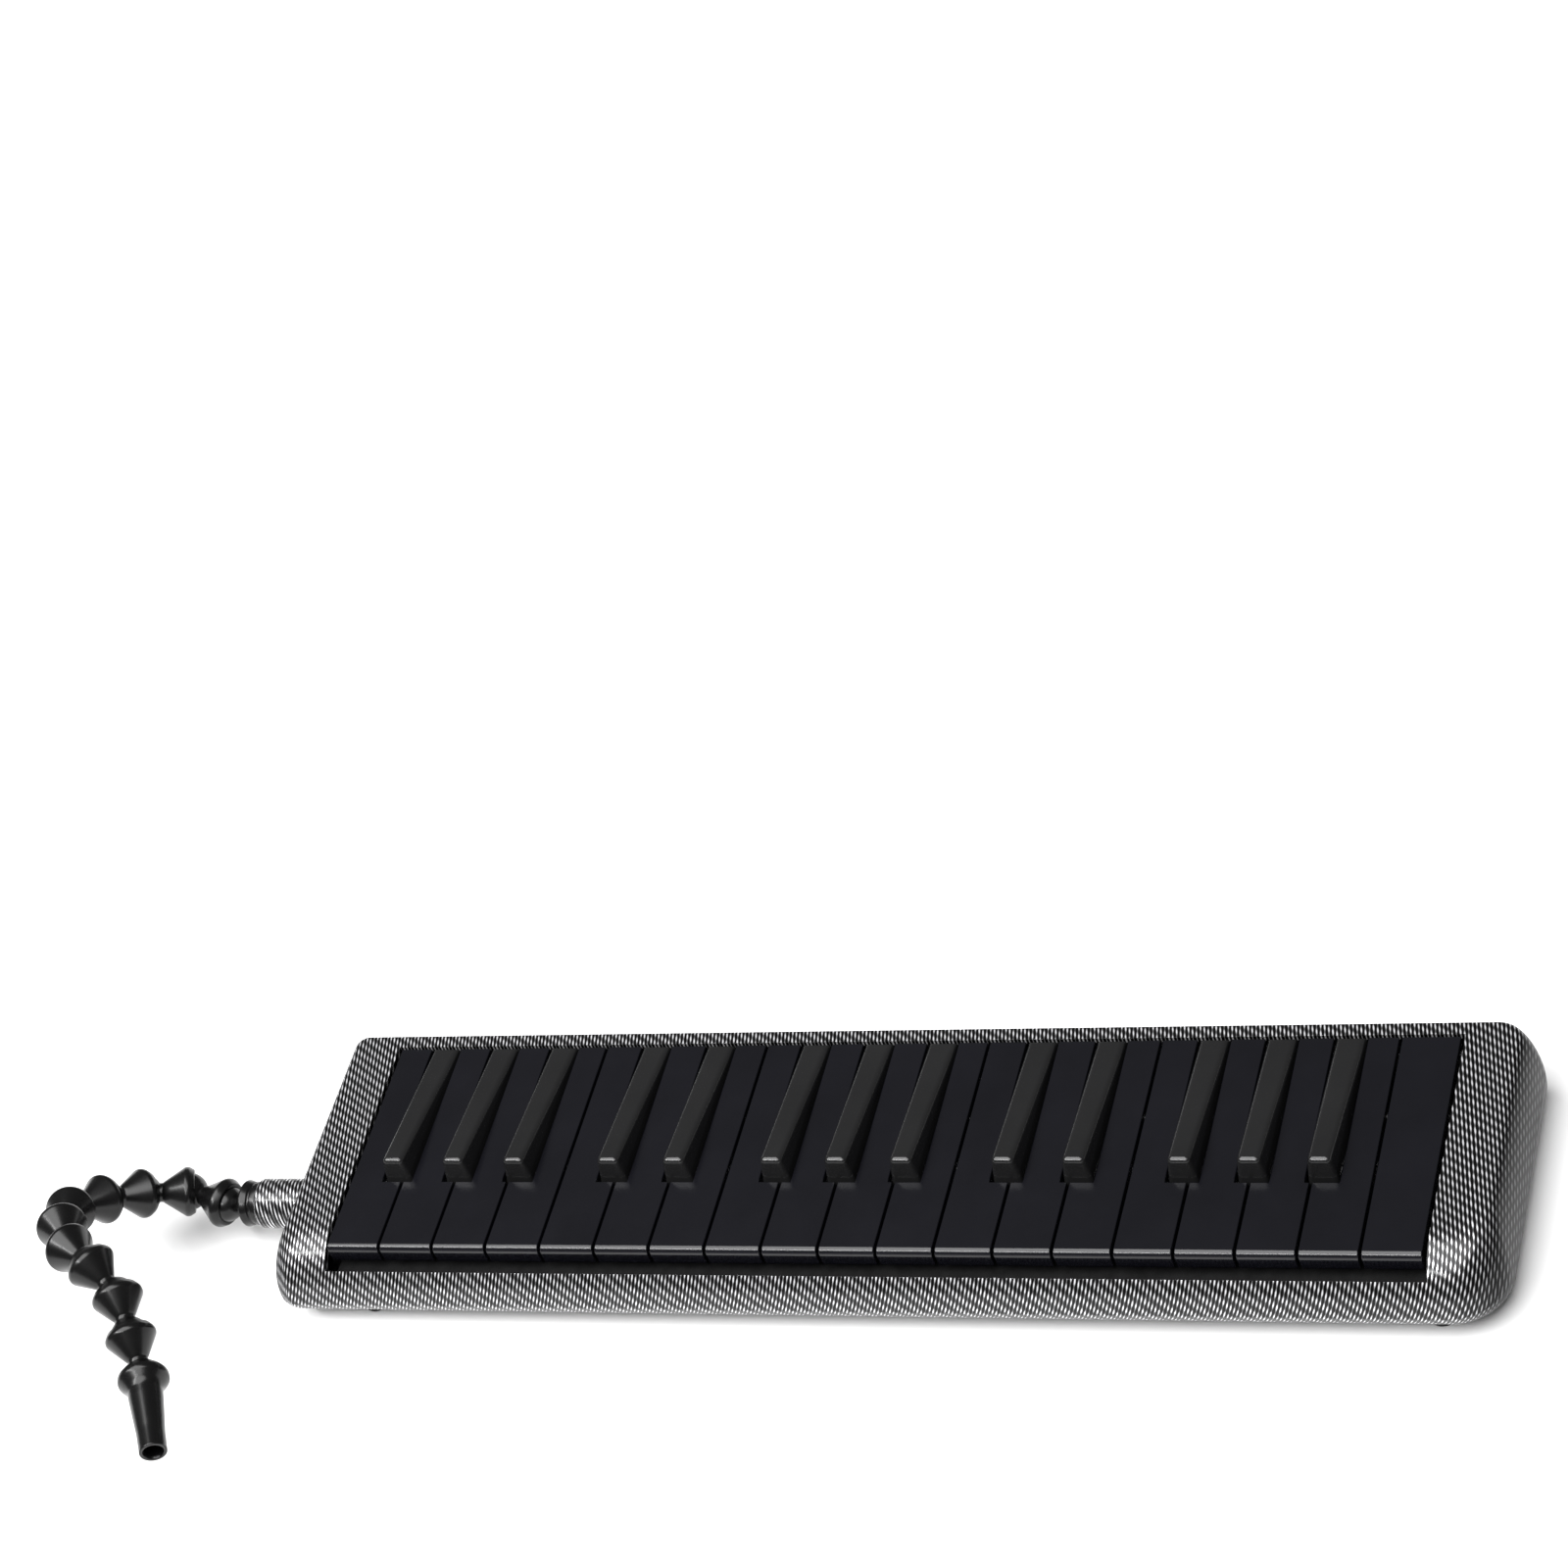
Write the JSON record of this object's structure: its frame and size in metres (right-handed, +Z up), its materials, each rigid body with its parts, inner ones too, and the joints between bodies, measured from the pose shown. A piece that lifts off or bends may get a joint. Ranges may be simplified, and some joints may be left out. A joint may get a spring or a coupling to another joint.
{
  "type": "melodica",
  "caption": "Hand-held free-reed keyboard with a weave-patterned case, all-black keys that tip on a steel rod, and a ball-jointed blowing tube with a mouthpiece.",
  "frame": {"origin": "centre of the bottom cover's underside, midway between its ends and between its front and back walls", "axes": "+X towards the treble end, +Y away from the player, +Z up out of the keys"},
  "size_m": [0.5068, 0.1871, 0.0668],
  "materials": {
    "weave_shell": "gloss film with a black and silver twill weave print",
    "shell": "satin moulded",
    "key_natural": "semi-gloss moulded",
    "key_sharp": "semi-gloss moulded",
    "tube": "gloss moulded",
    "inner_plastic": "matt moulded",
    "chamber_plastic": "matt moulded",
    "steel": "bright",
    "plate": "rolled",
    "reed_brass": "rolled",
    "felt": "charcoal felt",
    "rubber": "matt"
  },
  "bodies": {
    "case": {"top_cover": "weave_shell", "bottom_cover": "shell", "key_bed": "inner_plastic", "key_axle": "steel", "spring_comb": "steel", "key_felts": "felt", "reed_plate_bass": "plate", "reed_plate_treble": "plate", "reeds": "reed_brass", "plate_screws": "steel", "chamber_gasket": "rubber", "wind_chamber": "chamber_plastic", "drain_spring": "steel", "case_screws": "steel", "rubber_feet": "rubber"},
    "drain_button": {"drain_button": "shell"},
    "tube_plug": {"tube_plug": "tube"},
    "tube_link_01": {"tube_link_01": "tube"},
    "tube_link_02": {"tube_link_02": "tube"},
    "tube_link_03": {"tube_link_03": "tube"},
    "tube_link_04": {"tube_link_04": "tube"},
    "tube_link_05": {"tube_link_05": "tube"},
    "tube_link_06": {"tube_link_06": "tube"},
    "tube_link_07": {"tube_link_07": "tube"},
    "tube_link_08": {"tube_link_08": "tube"},
    "tube_link_09": {"tube_link_09": "tube"},
    "tube_link_10": {"tube_link_10": "tube"},
    "mouthpiece": {"mouthpiece": "tube"},
    "key_f3": {"key_f3": "key_natural"},
    "key_fs3": {"key_fs3": "key_sharp"},
    "key_g3": {"key_g3": "key_natural"},
    "key_gs3": {"key_gs3": "key_sharp"},
    "key_a3": {"key_a3": "key_natural"},
    "key_as3": {"key_as3": "key_sharp"},
    "key_b3": {"key_b3": "key_natural"},
    "key_c4": {"key_c4": "key_natural"},
    "key_cs4": {"key_cs4": "key_sharp"},
    "key_d4": {"key_d4": "key_natural"},
    "key_ds4": {"key_ds4": "key_sharp"},
    "key_e4": {"key_e4": "key_natural"},
    "key_f4": {"key_f4": "key_natural"},
    "key_fs4": {"key_fs4": "key_sharp"},
    "key_g4": {"key_g4": "key_natural"},
    "key_gs4": {"key_gs4": "key_sharp"},
    "key_a4": {"key_a4": "key_natural"},
    "key_as4": {"key_as4": "key_sharp"},
    "key_b4": {"key_b4": "key_natural"},
    "key_c5": {"key_c5": "key_natural"},
    "key_cs5": {"key_cs5": "key_sharp"},
    "key_d5": {"key_d5": "key_natural"},
    "key_ds5": {"key_ds5": "key_sharp"},
    "key_e5": {"key_e5": "key_natural"},
    "key_f5": {"key_f5": "key_natural"},
    "key_fs5": {"key_fs5": "key_sharp"},
    "key_g5": {"key_g5": "key_natural"},
    "key_gs5": {"key_gs5": "key_sharp"},
    "key_a5": {"key_a5": "key_natural"},
    "key_as5": {"key_as5": "key_sharp"},
    "key_b5": {"key_b5": "key_natural"},
    "key_c6": {"key_c6": "key_natural"}
  },
  "joints": [
    {"name": "key_f3_press", "type": "hinge", "parent": "case", "child": "key_f3", "pos_m": [-0.18429, 0.02, 0.02], "axis": [1, 0, 0], "range_deg": [0, 3.5], "stiffness_Nm_per_rad": 0.25, "springref_deg": -9.74},
    {"name": "key_fs3_press", "type": "hinge", "parent": "case", "child": "key_fs3", "pos_m": [-0.17286, 0.02, 0.02], "axis": [1, 0, 0], "range_deg": [0, 5], "stiffness_Nm_per_rad": 0.25, "springref_deg": -9.74},
    {"name": "key_g3_press", "type": "hinge", "parent": "case", "child": "key_g3", "pos_m": [-0.16143, 0.02, 0.02], "axis": [1, 0, 0], "range_deg": [0, 3.5], "stiffness_Nm_per_rad": 0.25, "springref_deg": -9.74},
    {"name": "key_gs3_press", "type": "hinge", "parent": "case", "child": "key_gs3", "pos_m": [-0.15, 0.02, 0.02], "axis": [1, 0, 0], "range_deg": [0, 5], "stiffness_Nm_per_rad": 0.25, "springref_deg": -9.74},
    {"name": "key_a3_press", "type": "hinge", "parent": "case", "child": "key_a3", "pos_m": [-0.13857, 0.02, 0.02], "axis": [1, 0, 0], "range_deg": [0, 3.5], "stiffness_Nm_per_rad": 0.25, "springref_deg": -9.74},
    {"name": "key_as3_press", "type": "hinge", "parent": "case", "child": "key_as3", "pos_m": [-0.12714, 0.02, 0.02], "axis": [1, 0, 0], "range_deg": [0, 5], "stiffness_Nm_per_rad": 0.25, "springref_deg": -9.74},
    {"name": "key_b3_press", "type": "hinge", "parent": "case", "child": "key_b3", "pos_m": [-0.11571, 0.02, 0.02], "axis": [1, 0, 0], "range_deg": [0, 3.5], "stiffness_Nm_per_rad": 0.25, "springref_deg": -9.74},
    {"name": "key_c4_press", "type": "hinge", "parent": "case", "child": "key_c4", "pos_m": [-0.104, 0.02, 0.02], "axis": [1, 0, 0], "range_deg": [0, 3.5], "stiffness_Nm_per_rad": 0.25, "springref_deg": -9.74},
    {"name": "key_cs4_press", "type": "hinge", "parent": "case", "child": "key_cs4", "pos_m": [-0.092, 0.02, 0.02], "axis": [1, 0, 0], "range_deg": [0, 5], "stiffness_Nm_per_rad": 0.25, "springref_deg": -9.74},
    {"name": "key_d4_press", "type": "hinge", "parent": "case", "child": "key_d4", "pos_m": [-0.08, 0.02, 0.02], "axis": [1, 0, 0], "range_deg": [0, 3.5], "stiffness_Nm_per_rad": 0.25, "springref_deg": -9.74},
    {"name": "key_ds4_press", "type": "hinge", "parent": "case", "child": "key_ds4", "pos_m": [-0.068, 0.02, 0.02], "axis": [1, 0, 0], "range_deg": [0, 5], "stiffness_Nm_per_rad": 0.25, "springref_deg": -9.74},
    {"name": "key_e4_press", "type": "hinge", "parent": "case", "child": "key_e4", "pos_m": [-0.056, 0.02, 0.02], "axis": [1, 0, 0], "range_deg": [0, 3.5], "stiffness_Nm_per_rad": 0.25, "springref_deg": -9.74},
    {"name": "key_f4_press", "type": "hinge", "parent": "case", "child": "key_f4", "pos_m": [-0.04429, 0.02, 0.02], "axis": [1, 0, 0], "range_deg": [0, 3.5], "stiffness_Nm_per_rad": 0.25, "springref_deg": -9.74},
    {"name": "key_fs4_press", "type": "hinge", "parent": "case", "child": "key_fs4", "pos_m": [-0.03286, 0.02, 0.02], "axis": [1, 0, 0], "range_deg": [0, 5], "stiffness_Nm_per_rad": 0.25, "springref_deg": -9.74},
    {"name": "key_g4_press", "type": "hinge", "parent": "case", "child": "key_g4", "pos_m": [-0.02143, 0.02, 0.02], "axis": [1, 0, 0], "range_deg": [0, 3.5], "stiffness_Nm_per_rad": 0.25, "springref_deg": -9.74},
    {"name": "key_gs4_press", "type": "hinge", "parent": "case", "child": "key_gs4", "pos_m": [-0.01, 0.02, 0.02], "axis": [1, 0, 0], "range_deg": [0, 5], "stiffness_Nm_per_rad": 0.25, "springref_deg": -9.74},
    {"name": "key_a4_press", "type": "hinge", "parent": "case", "child": "key_a4", "pos_m": [0.00143, 0.02, 0.02], "axis": [1, 0, 0], "range_deg": [0, 3.5], "stiffness_Nm_per_rad": 0.25, "springref_deg": -9.74},
    {"name": "key_as4_press", "type": "hinge", "parent": "case", "child": "key_as4", "pos_m": [0.01286, 0.02, 0.02], "axis": [1, 0, 0], "range_deg": [0, 5], "stiffness_Nm_per_rad": 0.25, "springref_deg": -9.74},
    {"name": "key_b4_press", "type": "hinge", "parent": "case", "child": "key_b4", "pos_m": [0.02429, 0.02, 0.02], "axis": [1, 0, 0], "range_deg": [0, 3.5], "stiffness_Nm_per_rad": 0.25, "springref_deg": -9.74},
    {"name": "key_c5_press", "type": "hinge", "parent": "case", "child": "key_c5", "pos_m": [0.036, 0.02, 0.02], "axis": [1, 0, 0], "range_deg": [0, 3.5], "stiffness_Nm_per_rad": 0.25, "springref_deg": -9.74},
    {"name": "key_cs5_press", "type": "hinge", "parent": "case", "child": "key_cs5", "pos_m": [0.048, 0.02, 0.02], "axis": [1, 0, 0], "range_deg": [0, 5], "stiffness_Nm_per_rad": 0.25, "springref_deg": -9.74},
    {"name": "key_d5_press", "type": "hinge", "parent": "case", "child": "key_d5", "pos_m": [0.06, 0.02, 0.02], "axis": [1, 0, 0], "range_deg": [0, 3.5], "stiffness_Nm_per_rad": 0.25, "springref_deg": -9.74},
    {"name": "key_ds5_press", "type": "hinge", "parent": "case", "child": "key_ds5", "pos_m": [0.072, 0.02, 0.02], "axis": [1, 0, 0], "range_deg": [0, 5], "stiffness_Nm_per_rad": 0.25, "springref_deg": -9.74},
    {"name": "key_e5_press", "type": "hinge", "parent": "case", "child": "key_e5", "pos_m": [0.084, 0.02, 0.02], "axis": [1, 0, 0], "range_deg": [0, 3.5], "stiffness_Nm_per_rad": 0.25, "springref_deg": -9.74},
    {"name": "key_f5_press", "type": "hinge", "parent": "case", "child": "key_f5", "pos_m": [0.09571, 0.02, 0.02], "axis": [1, 0, 0], "range_deg": [0, 3.5], "stiffness_Nm_per_rad": 0.25, "springref_deg": -9.74},
    {"name": "key_fs5_press", "type": "hinge", "parent": "case", "child": "key_fs5", "pos_m": [0.10714, 0.02, 0.02], "axis": [1, 0, 0], "range_deg": [0, 5], "stiffness_Nm_per_rad": 0.25, "springref_deg": -9.74},
    {"name": "key_g5_press", "type": "hinge", "parent": "case", "child": "key_g5", "pos_m": [0.11857, 0.02, 0.02], "axis": [1, 0, 0], "range_deg": [0, 3.5], "stiffness_Nm_per_rad": 0.25, "springref_deg": -9.74},
    {"name": "key_gs5_press", "type": "hinge", "parent": "case", "child": "key_gs5", "pos_m": [0.13, 0.02, 0.02], "axis": [1, 0, 0], "range_deg": [0, 5], "stiffness_Nm_per_rad": 0.25, "springref_deg": -9.74},
    {"name": "key_a5_press", "type": "hinge", "parent": "case", "child": "key_a5", "pos_m": [0.14143, 0.02, 0.02], "axis": [1, 0, 0], "range_deg": [0, 3.5], "stiffness_Nm_per_rad": 0.25, "springref_deg": -9.74},
    {"name": "key_as5_press", "type": "hinge", "parent": "case", "child": "key_as5", "pos_m": [0.15286, 0.02, 0.02], "axis": [1, 0, 0], "range_deg": [0, 5], "stiffness_Nm_per_rad": 0.25, "springref_deg": -9.74},
    {"name": "key_b5_press", "type": "hinge", "parent": "case", "child": "key_b5", "pos_m": [0.16429, 0.02, 0.02], "axis": [1, 0, 0], "range_deg": [0, 3.5], "stiffness_Nm_per_rad": 0.25, "springref_deg": -9.74},
    {"name": "key_c6_press", "type": "hinge", "parent": "case", "child": "key_c6", "pos_m": [0.176, 0.02, 0.02], "axis": [1, 0, 0], "range_deg": [0, 3.5], "stiffness_Nm_per_rad": 0.25, "springref_deg": -9.74},
    {"name": "drain_press", "type": "slide", "parent": "case", "child": "drain_button", "axis": [0, 0, 1], "range_m": [0, 0.0012], "stiffness_N_per_m": 300, "springref_m": -0.003, "deforming": ["drain_spring"]},
    {"name": "tube_swivel", "type": "hinge", "parent": "case", "child": "tube_plug", "pos_m": [-0.23, -0.012, 0.015], "axis": [-1, 0, 0], "continuous": true},
    {"name": "tube_bend_01", "type": "hinge", "parent": "tube_plug", "child": "tube_link_01", "pos_m": [-0.2455, -0.012, 0.015], "axis": [0, 0.3985, -0.9172], "range_deg": [-53.2, 22.8]},
    {"name": "tube_bend_02", "type": "hinge", "parent": "tube_link_01", "child": "tube_link_02", "pos_m": [-0.26094, -0.00815, 0.01667], "axis": [0.1979, 0.4059, 0.8922], "range_deg": [-73.9, 2.1]},
    {"name": "tube_bend_03", "type": "hinge", "parent": "tube_link_02", "child": "tube_link_03", "pos_m": [-0.27507, -0.01329, 0.02215], "axis": [0.0356, 0.6807, 0.7317], "range_deg": [-72.5, 3.5]},
    {"name": "tube_bend_04", "type": "hinge", "parent": "tube_link_03", "child": "tube_link_04", "pos_m": [-0.28248, -0.02349, 0.032], "axis": [0.3956, 0.4729, 0.7873], "range_deg": [-52.5, 23.5]},
    {"name": "tube_bend_05", "type": "hinge", "parent": "tube_link_04", "child": "tube_link_05", "pos_m": [-0.28648, -0.0358, 0.0414], "axis": [0.1567, 0.5669, 0.8087], "range_deg": [-71.8, 4.2]},
    {"name": "tube_bend_06", "type": "hinge", "parent": "tube_link_05", "child": "tube_link_06", "pos_m": [-0.28129, -0.04865, 0.0494], "axis": [0.5071, 0.5938, 0.6246], "range_deg": [-59.8, 16.2]},
    {"name": "tube_bend_07", "type": "hinge", "parent": "tube_link_06", "child": "tube_link_07", "pos_m": [-0.27173, -0.06089, 0.05327], "axis": [0.0862, 0.3611, 0.9285], "range_deg": [-56.6, 19.4]},
    {"name": "tube_bend_08", "type": "hinge", "parent": "tube_link_07", "child": "tube_link_08", "pos_m": [-0.2586, -0.06975, 0.0555], "axis": [0.5702, 0.808, -0.1483], "range_deg": [-64.3, 11.7]},
    {"name": "tube_bend_09", "type": "hinge", "parent": "tube_link_08", "child": "tube_link_09", "pos_m": [-0.2466, -0.07911, 0.05055], "axis": [-0.2749, 0.1493, -0.9498], "range_deg": [-57.2, 18.8]},
    {"name": "tube_bend_10", "type": "hinge", "parent": "tube_link_09", "child": "tube_link_10", "pos_m": [-0.23845, -0.09216, 0.04614], "axis": [0.7057, 0.579, -0.4082], "range_deg": [-42.4, 33.6]},
    {"name": "tube_bend_11", "type": "hinge", "parent": "tube_link_10", "child": "mouthpiece", "pos_m": [-0.23094, -0.10518, 0.04067], "axis": [-0.8815, -0.412, -0.2307], "range_deg": [-54.5, 21.5]}
  ]
}
